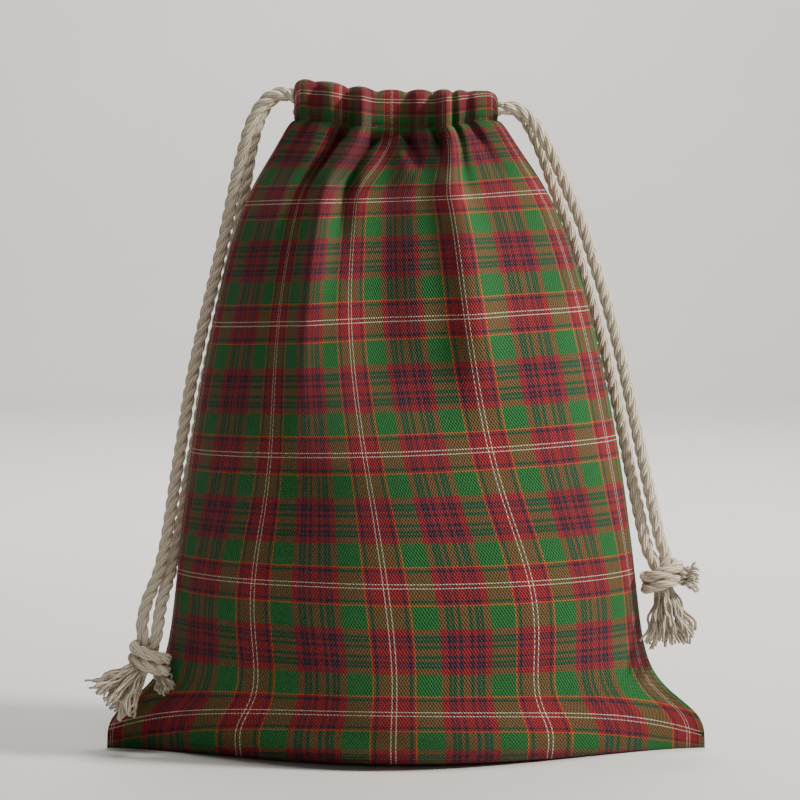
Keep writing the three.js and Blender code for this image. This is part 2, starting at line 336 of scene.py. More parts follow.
def across_panel(s, z):
    """Where the share s of the flat cloth lies, as a share of the half width. The folds draw it aside."""
    spread = 1 + 0.25 * bell(z - 80 * MM, 50 * MM) * (1 - s * s)
    drawn = -0.24 * smooth(z, 40 * MM, 240 * MM) * (1 - smooth(z, 275 * MM, PANEL_TOP))
    return s * spread + drawn * (1 - s * s) ** 2.4


def wall_depth(t, z, facing):
    """How far a panel's wall lies from the side seams."""
    folds, pleats = (FRONT_FOLDS, FRONT_PLEATS) if facing < 0 else (BACK_FOLDS, BACK_PLEATS)
    relief = fold_relief(t, z, folds) + pleat_relief(t, pleats) * smooth(z, 300 * MM, PANEL_TOP)
    pucker = 0.5 * MM * np.sin(z / (1.5 * MM)) * bell(abs(t) - 0.97, 0.02)
    depth = half_depth(z) * bulge(t, z) + (relief + belly_relief(t, z, facing) + pucker) * (z > 0)
    round_cords = CORD_REACH * smooth(z, 298 * MM, PANEL_TOP) * np.maximum(0, 1 - t ** 16) ** 0.5
    return np.maximum(round_cords, depth) * (abs(t) < 1)


def casing_rows(t, facing):
    """The casing over the cords: rows of depths and heights, up its face, over its rim and down inside."""
    pleats = FRONT_PLEATS if facing < 0 else BACK_PLEATS
    relief = pleat_relief(t, pleats)
    wall = wall_depth(np.clip(t, -0.985, 0.985), np.full_like(t, PANEL_TOP), facing)
    face = np.maximum(wall, CORD_REACH)
    inside = CORD_SPREAD - CORD / 2 - 1.6 * MM + 0.35 * relief - 3 * MM * smooth(abs(t), 0.5, 0.72)
    corner = np.clip((abs(t) - 0.88) / 0.12, 0, 1)
    top = rim_height(t) + 0.5 * relief - RIM_ROUND - 4 * MM * (1 - np.sqrt(1 - 0.98 * corner ** 2))
    depths, heights = [], []
    for share in np.linspace(0, 1, FACE_ROWS):
        stitched_in = 0.6 * MM * math.exp(-(((share - 0.09) / 0.05) ** 2))
        swell = 0.8 * MM * math.sin(math.pi * share) - stitched_in
        depths.append(face + swell)
        heights.append(top * share + 0.1 * MM)
    for angle in np.linspace(0, math.pi, RIM_ROWS)[1:-1]:
        depths.append((face + inside) / 2 + (face - inside) / 2 * math.cos(angle))
        heights.append(top + RIM_ROUND * math.sin(angle))
    for share in np.linspace(1, 0, FACE_ROWS):
        depths.append(inside)
        heights.append(top * share)
    return np.array(depths), np.array(heights)


def sheet_points(facing):
    """A panel with its casing, row by row from the bottom seam, and each column's place on the cloth."""
    even = np.linspace(-1, 1, COLUMNS + 1)
    s = 0.75 * even + 0.25 * np.sin(even * math.pi / 2)
    share = np.linspace(0, 1, WALL_ROWS + 1)
    heights = PANEL_TOP * (0.4 * share + 0.6 * (1 - np.cos(math.pi * share)) / 2)
    z = np.concatenate([np.zeros(BASE_ROWS), heights])[:, None]
    out = np.concatenate([np.arange(BASE_ROWS) / BASE_ROWS, np.ones(WALL_ROWS + 1)])[:, None]
    t = across_panel(s, z)
    seam = -SEAM_FORWARD * np.maximum(0, 1 - t * t) ** 2
    x = NECK_X * rise(z) + half_width(z) * t
    y = NECK_Y * rise(z) + out * facing * wall_depth(t, z, facing) + (1 - out) * seam
    wall = np.stack(np.broadcast_arrays(x, y, z - sag(t, z)), axis=-1)
    depths, rises = casing_rows(t[-1], facing)
    x = np.broadcast_to(NECK_X + NECK_HALF * t[-1], depths.shape)
    height = PANEL_TOP + rises - sag(t[-1], PANEL_TOP)
    casing = np.stack([x, NECK_Y + facing * depths, height], axis=-1)
    return np.concatenate([wall, casing]), s


def sheet_uvs(points, s):
    """Each point's place on the flat cloth, along the weft and along the warp from the panel's top row."""
    steps = np.linalg.norm(np.diff(points, axis=0), axis=2)
    steps[:TOP_ROW] = steps[:TOP_ROW, [COLUMNS // 2]]
    steps[TOP_ROW:] *= BUNCHING
    rows = np.concatenate([np.zeros((1, COLUMNS + 1)), np.cumsum(steps, axis=0)])
    z = points[:, :, 2]
    drop = rows[TOP_ROW] - rows - corner_cut(s)[None, :] * smooth(-z, -60 * MM, 0)
    # The gathers and the bottom seam take up a little cloth, the check lies askew, and the sides turn in.
    taken_up = 6.5 * MM * bell(z - 235 * MM, 60 * MM) + 4.5 * MM * bell(z, 35 * MM)
    skew = 0.055 * smooth(z, 40 * MM, 200 * MM) * (1 - smooth(z, 285 * MM, PANEL_TOP)) - 0.012
    turned = 0.07 * np.sign(s) * np.maximum(0, (abs(s) - 0.88) / 0.12) ** 2
    across = np.broadcast_to(FLAT_HALF * (s + turned), z.shape)
    return np.stack([across, drop + taken_up + skew * points[:, :, 0]], axis=-1)


def corner_cut(s):
    """The bottom seam is sewn on a curve, so less cloth hangs at the corners."""
    return 25 * MM * s * s


# ---------------------------------------------------------------- materials

class Nodes:
    """Short calls for building a material's nodes."""

    def __init__(self, name):
        self.material = bpy.data.materials.new(name)
        self.material.use_nodes = True
        self.tree = self.material.node_tree
        self.shader = self.tree.nodes["Principled BSDF"]

    def link(self, value, socket):
        if isinstance(value, bpy.types.NodeSocket):
            self.tree.links.new(value, socket)
        else:
            socket.default_value = value

    def add(self, kind, *inputs, **settings):
        node = self.tree.nodes.new(kind)
        for key, value in settings.items():
            setattr(node, key, value)
        for socket, value in zip(node.inputs, inputs):
            if value is not None:
                self.link(value, socket)
        return node

    def math(self, operation, a, b=0.0, c=0.0):
        return self.add("ShaderNodeMath", a, b, c, operation=operation).outputs[0]

    def mix(self, share, a, b, blend="MIX"):
        node = self.tree.nodes.new("ShaderNodeMix")
        node.data_type = "RGBA"
        node.blend_type = blend
        for index, value in ((0, share), (6, a), (7, b)):
            self.link(value, node.inputs[index])
        return node.outputs[2]

    def noise(self, vector, scale, detail=2.0):
        node = self.add("ShaderNodeTexNoise")
        self.link(vector, node.inputs["Vector"])
        node.inputs["Scale"].default_value = scale
        node.inputs["Detail"].default_value = detail
        return node.outputs["Fac"]

    def cloth_place(self):
        """The place on the cloth, or along a thread and round it, and its two parts."""
        place = self.add("ShaderNodeUVMap", uv_map="cloth").outputs[0]
        split = self.add("ShaderNodeSeparateXYZ", place)
        return place, split.outputs[0], split.outputs[1]

    def ridges(self, value, per_unit=1):
        """Round ridges from 0 to 1, with so many as the value grows by 1."""
        wave = self.math("SINE", self.math("MULTIPLY", value, per_unit * math.pi))
        return self.math("ABSOLUTE", wave)

    def shaded(self, colour, shade):
        """The colour times the shade."""
        grey = self.add("ShaderNodeCombineColor", shade, shade, shade).outputs[0]
        return self.mix(1.0, colour, grey, "MULTIPLY")

    def ramp(self, value, stops, interpolation="LINEAR"):
        node = self.add("ShaderNodeValToRGB", value)
        ramp = node.color_ramp
        ramp.interpolation = interpolation
        while len(ramp.elements) < len(stops):
            ramp.elements.new(1.0)
        for element, (place, colour) in zip(ramp.elements, stops):
            element.position = place
            element.color = (*colour, 1)
        return node.outputs[0]

    def bump(self, height, distance):
        node = self.add("ShaderNodeBump")
        self.link(height, node.inputs["Height"])
        node.inputs["Distance"].default_value = distance
        node.inputs["Strength"].default_value = 1.0
        self.link(node.outputs[0], self.shader.inputs["Normal"])


RED = (0.235, 0.008, 0.014)
GREEN = (0.006, 0.125, 0.022)
NAVY = (0.009, 0.007, 0.024)
ORANGE = (0.62, 0.090, 0.008)
WHITE = (0.74, 0.68, 0.54)

# Half a repeat of the check, from the white lines outwards: where each stripe starts, in repeats, and its
# yarn.
STRIPES = [
    (0.000, RED), (0.0115, WHITE), (0.0185, RED), (0.105, NAVY), (0.125, RED), (0.140, ORANGE),
    (0.149, GREEN), (0.323, RED), (0.373, NAVY), (0.395, RED), (0.401, NAVY), (0.426, RED),
    (0.449, NAVY), (0.472, RED),
]


def tartan():
    """Coarse woven cloth checked by its dyed yarns; painted highlights on the weave's dots, painted shade
    between.
    """
    nodes = Nodes("tartan")
    place, across, up = nodes.cloth_place()
    stops = [(2 * start, colour) for start, colour in STRIPES]

    def stripes(coordinate, sett, phase):
        turns = nodes.math("MULTIPLY_ADD", coordinate, 1 / sett, phase)
        folded = nodes.math("PINGPONG", turns, 0.5)
        return nodes.ramp(nodes.math("MULTIPLY", folded, 2.0), stops, "CONSTANT")

    warp = stripes(across, SETT_ACROSS, CHECK_ACROSS / SETT_ACROSS)
    weft = stripes(up, SETT_UP, CHECK_UP / SETT_UP)

    def checks(pitch_across, pitch_up):
        """A chequered wave: above 0 where the warp lies on top, and below 0 where the weft does."""
        wave_across = nodes.math("SINE", nodes.math("MULTIPLY", across, math.pi / pitch_across))
        wave_up = nodes.math("SINE", nodes.math("MULTIPLY", up, math.pi / pitch_up))
        return nodes.math("MULTIPLY", wave_across, wave_up)

    warp_on_top = nodes.math("GREATER_THAN", checks(YARN, YARN), 0.0)
    colour = nodes.mix(warp_on_top, weft, warp)
    crown = nodes.math("MULTIPLY_ADD", checks(DOT_ACROSS, DOT_UP), 0.5, 0.5)
    fibres = nodes.noise(place, 900, 3.0)
    mottle = nodes.noise(place, 28, 3.0)
    # The weave's raised dots lighter and the gaps between them darker: painted highlight and painted shade.
    # The fibres and the mottle are the yarn's own uneven tone.
    shade = nodes.math("MULTIPLY_ADD", crown, 0.85, 0.42)
    shade = nodes.math("MULTIPLY", shade, nodes.math("MULTIPLY_ADD", fibres, 0.5, 0.75))
    shade = nodes.math("MULTIPLY", shade, nodes.math("MULTIPLY_ADD", mottle, 0.3, 0.87))
    nodes.link(nodes.shaded(colour, shade), nodes.shader.inputs["Base Color"])
    rough = nodes.math("MULTIPLY_ADD", fibres, 0.16, 0.66)
    nodes.link(rough, nodes.shader.inputs["Roughness"])
    nodes.shader.inputs["Specular IOR Level"].default_value = 0.32
    nodes.shader.inputs["Sheen Weight"].default_value = 0.05
    nodes.shader.inputs["Sheen Roughness"].default_value = 0.4
    height = nodes.math("MULTIPLY_ADD", fibres, 0.25, crown)
    nodes.bump(height, 0.55 * MM)
    return nodes.material


def rope_cotton():
    """Natural cotton, with each strand's yarns, and painted shade in the grooves between the yarns."""
    nodes = Nodes("rope_cotton")
    _, along, around = nodes.cloth_place()
    lines = nodes.math("MULTIPLY_ADD", around, 4.0, nodes.math("MULTIPLY", along, 160.0))
    yarns = nodes.ridges(lines)
    where = nodes.add("ShaderNodeTexCoord").outputs["Object"]
    fuzz = nodes.noise(where, 2200, 4.0)
    mottle = nodes.noise(where, 60, 3.0)
    # Darker in the grooves between the yarns and lighter on their crests: painted shade. The fuzz and the
    # mottle are the cotton's own uneven tone.
    shade = nodes.math("MULTIPLY_ADD", yarns, 0.42, nodes.math("MULTIPLY_ADD", fuzz, 0.4, 0.26))
    shade = nodes.math("MULTIPLY", shade, nodes.math("MULTIPLY_ADD", mottle, 0.4, 0.8))
    stops = [(0.15, (0.30, 0.22, 0.15)), (0.5, (0.58, 0.475, 0.35)), (0.85, (0.78, 0.68, 0.53))]
    colour = nodes.ramp(shade, stops)
    nodes.link(colour, nodes.shader.inputs["Base Color"])
    nodes.shader.inputs["Roughness"].default_value = 0.9
    nodes.shader.inputs["Sheen Weight"].default_value = 0.25
    height = nodes.math("MULTIPLY_ADD", fuzz, 0.5, yarns)
    nodes.bump(height, 0.5 * MM)
    return nodes.material


def sewing_thread():
    """Twisted dark red polyester thread, with painted shade between its plies."""
    nodes = Nodes("sewing_thread")
    _, along, around = nodes.cloth_place()
    plies = nodes.ridges(nodes.math("MULTIPLY_ADD", along, 900.0, around))
    # Darker between the plies and lighter on their crests: painted shade.
    colour = nodes.ramp(plies, [(0.0, (0.075, 0.006, 0.010)), (1.0, (0.30, 0.025, 0.040))])
    nodes.link(colour, nodes.shader.inputs["Base Color"])
    nodes.shader.inputs["Roughness"].default_value = 0.5
    nodes.bump(plies, 0.08 * MM)
    return nodes.material


def overlocked_cloth():
    """Cut edges of the cloth under an overlock's loops of pale thread."""
    nodes = Nodes("overlocked_cloth")
    place, along, across = nodes.cloth_place()
    loops = nodes.math("PINGPONG", nodes.math("MULTIPLY", along, 400.0), 0.5)
    line = nodes.ridges(nodes.math("MULTIPLY_ADD", across, 120.0, loops), per_unit=2)
    fuzz = nodes.noise(place, 1500, 3.0)
    colour = nodes.ramp(line, [(0.55, (0.10, 0.03, 0.02)), (0.75, (0.42, 0.33, 0.24))])
    shade = nodes.math("MULTIPLY_ADD", fuzz, 0.5, 0.7)
    nodes.link(nodes.shaded(colour, shade), nodes.shader.inputs["Base Color"])
    nodes.shader.inputs["Roughness"].default_value = 0.85
    nodes.bump(nodes.math("MULTIPLY_ADD", fuzz, 0.4, line), 0.3 * MM)
    return nodes.material


def plain_floor():
    """Pale and matt, with faint clouds of shade."""
    nodes = Nodes("pale_floor")
    where = nodes.add("ShaderNodeTexCoord").outputs["Object"]
    colour = nodes.ramp(nodes.noise(where, 3.0), [(0.3, (0.74, 0.73, 0.71)), (0.7, (0.77, 0.76, 0.74))])
    nodes.link(colour, nodes.shader.inputs["Base Color"])
    nodes.shader.inputs["Roughness"].default_value = 0.6
    return nodes.material


# ---------------------------------------------------------------- the rope

def catmull_rom(points, step):
    """A smooth line through the points, resampled to even steps of about that length."""
    points = np.asarray(points, float)
    ends = [2 * points[0] - points[1], 2 * points[-1] - points[-2]]
    p = np.vstack([ends[0], points, ends[1]])
    line = []
    for k in range(1, len(p) - 2):
        p0, p1, p2, p3 = p[k - 1:k + 3]
        t0 = 0.0
        t1 = t0 + math.sqrt(np.linalg.norm(p1 - p0))
        t2 = t1 + math.sqrt(np.linalg.norm(p2 - p1))
        t3 = t2 + math.sqrt(np.linalg.norm(p3 - p2))
        for t in np.linspace(t1, t2, SPAN_POINTS, endpoint=False):
            a1 = (t1 - t) / (t1 - t0) * p0 + (t - t0) / (t1 - t0) * p1
            a2 = (t2 - t) / (t2 - t1) * p1 + (t - t1) / (t2 - t1) * p2
            a3 = (t3 - t) / (t3 - t2) * p2 + (t - t2) / (t3 - t2) * p3
            b1 = (t2 - t) / (t2 - t0) * a1 + (t - t0) / (t2 - t0) * a2
            b2 = (t3 - t) / (t3 - t1) * a2 + (t - t1) / (t3 - t1) * a3
            line.append((t2 - t) / (t2 - t1) * b1 + (t - t1) / (t2 - t1) * b2)
    line.append(points[-1])
    return resample(np.array(line), step)


def lengths_along(line):
    return np.concatenate([[0], np.cumsum(np.linalg.norm(np.diff(line, axis=0), axis=1))])


def resample(line, step):
    along = lengths_along(line)
    count = max(2, round(along[-1] / step) + 1)
    places = np.linspace(0, along[-1], count)
    return np.stack([np.interp(places, along, line[:, k]) for k in range(3)], axis=1)


def frames_along(line):
    """Two directions across the line at each of its points, which turn as little as they can."""
    tangents = np.gradient(line, axis=0)
    tangents /= np.linalg.norm(tangents, axis=1)[:, None]
    side = np.cross(tangents[0], [0, 0, 1])
    if np.linalg.norm(side) < 0.1:
        side = np.cross(tangents[0], [0, 1, 0])
    sides = []
    for tangent in tangents:
        side = side - tangent * (side @ tangent)
        side = side / np.linalg.norm(side)
        sides.append(side)
    sides = np.array(sides)
    return sides, np.cross(tangents, sides)


def tube_points(line, radii, sides):
    """The points of a round tube, ring by ring, from its line and its radius at each point."""
    side, up = frames_along(line)
    points = []
    for j, radius in enumerate(radii):
        for i in range(sides):
            turn = 2 * math.pi * i / sides
            points.append(line[j] + radius * (math.cos(turn) * side[j] + math.sin(turn) * up[j]))
    return points


def thread(line, radii, sides=6):
    """Points, faces and UVs of a round thread, from its line and its radius at each point."""
    uvs = [(place, i / sides) for place in lengths_along(line) for i in range(sides)]
    return tube_points(line, radii, sides), tube_faces(len(line), sides), uvs


def rope_strands(line, width):
    """The points and UVs of the strands laid round a line, ring by ring."""
    width = np.broadcast_to(width, len(line))[:, None]
    along = lengths_along(line)
    side, up = frames_along(line)
    round_it = [2 * abs(i / STRAND_SIDES - 0.5) for i in range(STRAND_SIDES)]
    uvs = [(place, share) for place in along for share in round_it]
    strands = []
    for strand in range(STRANDS):
        turn = 2 * math.pi * (along / LAY + strand / STRANDS)
        outwards = np.cos(turn)[:, None] * side + np.sin(turn)[:, None] * up
        centre = line + STRAND_OFFSET * width * outwards
        strands.append((tube_points(centre, STRAND_RADIUS * width, STRAND_SIDES), uvs))
    return strands


def rope_piece(name, strands, low, high, material, *nodes):
    """The rings from low to high of a rope's strands, as a piece of its own."""
    cut = slice(low * STRAND_SIDES, (high + 1) * STRAND_SIDES)
    faces = tube_faces(high - low + 1, STRAND_SIDES)
    piece = new_object(name, *join([(points[cut], faces, uvs[cut]) for points, uvs in strands]))
    dress(piece, material, "rope", *nodes)
    return piece


# The tails' routes from the casing to the knot, in millimetres, laid as in the CAD model.
LEFT_TAILS = {
    "front": [
        (-64, 8, 327), (-70, 8.5, 323.5), (-76, 9.5, 314.5), (-81, 11, 299.5), (-85.5, 12.5, 281.5),
        (-90.5, 13.5, 258), (-96, 14, 235), (-102, 13.5, 210), (-107.5, 12, 184), (-112, 10.5, 157),
        (-116, 8.5, 132), (-119.5, 5, 108), (-123.5, 1, 89), (-129.5, -5.5, 73), (-131, -11, 60.5),
    ],
    "back": [
        (-64, 32, 327), (-69, 31.5, 323.5), (-74, 30.5, 314.5), (-78, 29, 299.5), (-81, 27.5, 281.5),
        (-85, 26, 258), (-90, 24.5, 235), (-95.5, 23, 210), (-101, 21.5, 184), (-105.5, 19, 157),
        (-110, 16, 132), (-114, 11.5, 108), (-118, 6.5, 89), (-122, -5, 73), (-123.5, -12.5, 60.5),
    ],
}
RIGHT_TAILS = {
    "front": [
        (54, 8, 320), (60, 8.5, 316.5), (67, 9.5, 307.5), (74, 10.5, 294.5), (81, 11, 278.5),
        (88, 11.5, 262), (94, 11, 243.5), (100, 10, 224.5), (105.5, 8.5, 204), (110.5, 6.5, 182.5),
        (115, 4, 161), (119.5, 1.5, 139), (123.5, -1, 120), (127, -3.5, 104), (129, -4.5, 98),
    ],
    "back": [
        (54, 32, 320), (59, 31.5, 316.5), (64.5, 30.5, 307.5), (70, 29, 294.5), (75.5, 27.5, 278.5),
        (82, 25.5, 262), (88, 23.5, 243.5), (93.5, 21.5, 224.5), (99, 19, 204), (104, 16, 182.5),
        (108.5, 12.5, 161), (112.5, 8.5, 139), (116, 4, 121), (119, -1.5, 106), (121, -4, 99),
    ],
}


def exit_point(side, face):
    """Where a drawcord leaves the casing."""
    y = NECK_Y + (CORD_SPREAD if face == "back" else -CORD_SPREAD)
    return np.array([NECK_X + side * EXIT, y, CASING_MIDDLE - side * CORD_STEP])


def loop_line(side):
    """The held part of a drawcord: in along the front casing, round the far slit and out along the back."""
    front, back = exit_point(side, "front"), exit_point(side, "back")
    turn_x = NECK_X - side * (CASING_HALF - SLIT_TURN)
    line = [front]
    for angle in np.linspace(0, math.pi, 33):
        x = turn_x - side * CORD_SPREAD * math.sin(angle)
        line.append(np.array([x, NECK_Y - CORD_SPREAD * math.cos(angle), front[2]]))
    line.append(back)
    line = resample(np.array(line), STEP)
    line[:, 2] -= (3 * MM if side < 0 else 2 * MM) * in_casing(line, side)
    return line


def in_casing(line, side):
    """1 where a drawcord lies in the casing, and 0 from where it leaves."""
    return 1 - smooth(side * (line[:, 0] - NECK_X), EXIT - 6.5 * MM, EXIT)


def drawcord(side, material):
    """One cord in three pieces, cut where it leaves the casing. Returns its two tails' pieces and lines."""
    name = SIDE_NAMES[side]
    routes = LEFT_TAILS if side < 0 else RIGHT_TAILS
    lines = {}
    for face in FACINGS:
        into_knot = 0.75 * np.array(KNOTS[name]["centre"]) + 0.25 * np.array(routes[face][-1])
        route = np.vstack([exit_point(side, face), np.array([*routes[face], into_knot]) * MM])
        lines[face] = catmull_rom(route, STEP)
    whole = np.vstack([lines["front"][::-1], loop_line(side)[1:-1], lines["back"]])
    strands = rope_strands(whole, CORD * (1 - SQUEEZE * in_casing(whole, side)))
    end = len(whole) - 1
    first, last = len(lines["front"]) - 1, end + 1 - len(lines["back"])
    cuts = {"front": (0, first), "held": (first, last), "back": (last, end)}
    pieces = {}
    for part, (low, high) in cuts.items():
        node = f"{name}_drawcord" if part == "held" else f"{name}_{part}_tail"
        pieces[part] = rope_piece(f"{name}_{part}_rope", strands, low, high, material, node)
    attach(pieces["held"], f"{name}_drawcord")
    return {face: (pieces[face], lines[face]) for face in FACINGS}


# ---------------------------------------------------------------- knots and tassels

# Each knot's centre and radii in millimetres, and its brushes of frayed yarns: the way each points, how far
# it reaches and spreads, and its number of yarns.
KNOTS = {
    "left": {
        "centre": (-127, -13, 47),
        "radii": (11, 9.5, 11),
        "brushes": [((-0.72, -0.25, -0.64), 29, 14, 70), ((0.55, 0.05, -0.80), 17, 5.5, 26)],
    },
    "right": {
        "centre": (127.5, -6, 87),
        "radii": (11.5, 9.5, 10.5),
        "brushes": [((0.12, -0.12, -0.98), 31, 15, 74), ((0.95, -0.15, 0.05), 17.5, 7, 34)],
    },
}


def knot_line(name):
    """The rope's way through the knot: round both strands, then under its own turn."""
    knot = KNOTS[name]
    centre = np.array(knot["centre"]) * MM
    radii = np.array(knot["radii"]) * MM
    mirror = -1 if name == "left" else 1
    inner = radii - 2.9 * MM
    line = []
    for k in range(KNOT_POINTS):
        share = k / (KNOT_POINTS - 1)
        angle = 2 * math.pi * (KNOT_TURNS * share) - 0.9
        lift = (0.5 - share) * 1.35
        around = math.sqrt(max(0.15, 1 - 0.55 * lift * lift))
        x = mirror * inner[0] * around * math.cos(angle)
        y = -inner[1] * around * math.sin(angle)
        z = inner[2] * (lift + 0.22 * math.cos(angle))
        line.append(centre + np.array([x, y, z]))
    return resample(np.array(line), STEP)


def knot(name, material):
    """The rope wound into a knot, pulled a little thinner."""
    line = knot_line(name)
    strands = rope_strands(line, 0.95 * CORD)
    piece = rope_piece(f"{name}_knot_rope", strands, 0, len(line) - 1, material, f"{name}_knot")
    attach(piece, f"{name}_tails")
    return piece


def brush(centre, axis, reach, wide, yarns, chance):
    """Frayed yarns that leave the knot together and spread."""
    axis = np.array(axis) / np.linalg.norm(axis)
    side = np.cross(axis, [0, 1, 0])
    side /= np.linalg.norm(side)
    up = np.cross(axis, side)
    shapes = []
    for _ in range(yarns):
        length = reach * chance.uniform(0.82, 1.06)
        spread = math.sqrt(chance.random())
        angle = 2 * math.pi * chance.random()
        curl = chance.uniform(-1, 1)
        radius = chance.uniform(0.55, 0.8) * MM
        root = 0.27 * wide * spread
        line = []
        for share in np.linspace(0, 1, YARN_POINTS):
            away = root + (wide * spread - root) * share ** 1.2
            wobble = 1.5 * MM * math.sin(4.2 * share * math.pi + 6 * curl) * share ** 0.6
            swirl = angle + 0.4 * curl * share
            across = math.cos(swirl) * side + math.sin(swirl) * up
            reached = YARN_ROOT + (length - YARN_ROOT) * share
            line.append(centre + axis * reached + across * (away + wobble))
        line = np.array(line)
        line[:, 2] -= 1.5 * MM * np.linspace(0, 1, YARN_POINTS) ** 2
        line[:, 2] = np.maximum(line[:, 2], 1.2 * MM)
        shapes.append(thread(line, [radius] * YARN_POINTS))
    return join(shapes)


def tassel(name, material, seed):
    """The frayed ends of both tails, below the knot and beside it."""
    knot_data = KNOTS[name]
    centre = np.array(knot_data["centre"]) * MM
    chance = random.Random(seed)
    shapes = []
    for axis, reach, wide, yarns in knot_data["brushes"]:
        shapes.append(brush(centre, axis, reach * MM, wide * MM, yarns, chance))
    piece = new_object(f"{name}_tassel_yarns", *join(shapes))
    dress(piece, material, "rope", f"{name}_tassel")
    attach(piece, f"{name}_tails")
    return piece


def cords():
    """Both drawcords, with their knots and tassels."""
    material = rope_cotton()
    for side, name in SIDE_NAMES.items():
        tails = drawcord(side, material)
        knot_piece = knot(name, material)
        tassel_piece = tassel(name, material, seed=11 if side < 0 else 23)
        for face, (piece, line) in tails.items():
            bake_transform(piece)


# ---------------------------------------------------------------- the cloth

def bag():
    """The sewn bag as one mesh: the front's sheet, then the back's, which shares its seams with it."""
    front, s = sheet_points(FACINGS["front"])
    back, _ = sheet_points(FACINGS["back"])
    rows, columns = front.shape[:2]
    shared = np.zeros((rows, columns), bool)
    shared[0] = True
    shared[:TOP_ROW + 1, [0, -1]] = True
    index = {"front": np.arange(rows * columns).reshape(rows, columns)}
    index["back"] = index["front"].copy()
    index["back"][~shared] = rows * columns + np.arange((~shared).sum())
    points = np.concatenate([front.reshape(-1, 3), back[~shared]])
    uvs = {"front": sheet_uvs(front, s), "back": sheet_uvs(back, s)}
    return points, index, uvs


def settle(points, index):
    """Cloth simulation of the panels between their seams, the neck and the base: how far it moves each point.

    With these settings it moves none by more than rounding, so the folds come from the sheet's own shape. The
    rounding it leaves does show: without it the two sheets coincide at the bottom corners and render black.
    It runs on every second row and column.
    """
    coarse = {name: grid[:TOP_ROW + 1:2, ::2] for name, grid in index.items()}
    used = np.unique(np.concatenate([grid.ravel() for grid in coarse.values()]))
    place = np.full(len(points), -1)
    place[used] = np.arange(len(used))
    small = {name: place[grid] for name, grid in coarse.items()}
    faces = bag_faces(small, "front") + bag_faces(small, "back")
    piece = new_object("settling", points[used], faces)
    held = piece.vertex_groups.new(name="held")
    z = points[used, 2]
    at_seam = np.zeros(len(points), bool)
    for grid in index.values():
        at_seam[grid[:, [0, -1]]] = True
    firm = np.maximum(smooth(z, 268 * MM, 300 * MM), smooth(-z, -22 * MM, -6 * MM))
    firm = np.maximum(firm, at_seam[used])
    for k, weight in enumerate(firm):
        held.add([k], float(weight), "REPLACE")
    cloth = piece.modifiers.new("cloth", "CLOTH")
    settings = cloth.settings
    settings.vertex_group_mass = "held"
    settings.quality = 6
    settings.mass = 0.3
    settings.tension_stiffness = 25
    settings.compression_stiffness = 25
    settings.shear_stiffness = 8
    settings.bending_stiffness = 3
    settings.shrink_min = -0.025
    settings.use_pressure = True
    settings.uniform_pressure_force = 2.5
    settings.effector_weights.gravity = 0.5
    cloth.collision_settings.use_collision = False
    cloth.collision_settings.use_self_collision = False
    scene = bpy.context.scene
    for step in range(1, SETTLE_FRAMES + 1):
        scene.frame_set(step)
    settled = piece.evaluated_get(bpy.context.evaluated_depsgraph_get()).data
    moved = np.array([v.co[:] for v in settled.vertices]) - points[used]
    bpy.data.objects.remove(piece)
    scene.frame_set(1)
    length = np.linalg.norm(moved, axis=1)[:, None]
    moved *= MOST_SETTLING / np.sqrt(MOST_SETTLING ** 2 + length ** 2)
    shift = np.zeros((len(points), 3))
    for name, grid in index.items():
        field = finer(moved[small[name]])
        shift[grid[:TOP_ROW + 1]] = field
    return shift


def finer(field):
    """A grid of vectors with a row and a column added between each two."""
    for axis in (0, 1):
        field = np.swapaxes(field, 0, axis)
        wide = np.repeat(field, 2, axis=0)[:-1]
        wide[1::2] = (field[:-1] + field[1:]) / 2
        field = np.swapaxes(wide, 0, axis)
    return field


def bag_faces(index, name):
    """The faces of the front's sheet or the back's, turned outwards."""
    faces = []
    flat = index[name].ravel()
    for face in grid_faces(*index[name].shape):
        corners = [flat[k] for k in face]
        faces.append(corners if name == "front" else corners[::-1])
    return faces


def mouth_blend(piece):
    """Bakes the piece's placement into its mesh."""
    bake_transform(piece)


def cloth_piece(name, rows, columns, sheet, material, node):
    """A rectangle of a sheet's grid as a piece of its own, with the whole bag's normals along its edges."""
    points, normals, index, uvs = sheet
    part = index[rows, columns]
    faces = grid_faces(*part.shape)
    if "back" in name:
        faces = [face[::-1] for face in faces]
    flat = part.ravel()
    piece = new_object(name, points[flat], faces, uvs[rows, columns].reshape(-1, 2))
    piece.data.normals_split_custom_set_from_vertices([tuple(n) for n in normals[flat]])
    dress(piece, material, "cloth", node)
    return piece


def stitch_row(line, outward):
    """Stitches of thread along a line on the cloth, which sink into it at their ends."""
    along = lengths_along(line)
    shares = np.linspace(0, 1, STITCH_POINTS)
    arch = np.sin(math.pi * shares)
    shapes = []
    for start in np.arange(0, along[-1] - STITCH, STITCH + STITCH_GAP):
        places = start + STITCH * shares
        lie = np.stack([np.interp(places, along, line[:, k]) for k in range(3)], axis=1)
        out = np.stack([np.interp(places, along, outward[:, k]) for k in range(3)], axis=1)
        lie = lie + out * (0.25 * THREAD * arch)[:, None]
        shapes.append(thread(lie, THREAD / 2 * (0.7 + 0.3 * arch)))
    return join(shapes)


def casing_stitches(face, points, normals, index, material):
    """The row of stitches that closes the casing, in two halves, one for each side."""
    row = index[STITCH_ROW]
    middle = COLUMNS // 2
    for side, half in SIDE_NAMES.items():
        columns = row[2:middle + 1][::-1] if side < 0 else row[middle:-2]
        piece = new_object(f"{face}_stitches_{half}", *stitch_row(points[columns], normals[columns]))
        dress(piece, material, "thread", f"{face}_casing_stitching")
        mouth_blend(piece)


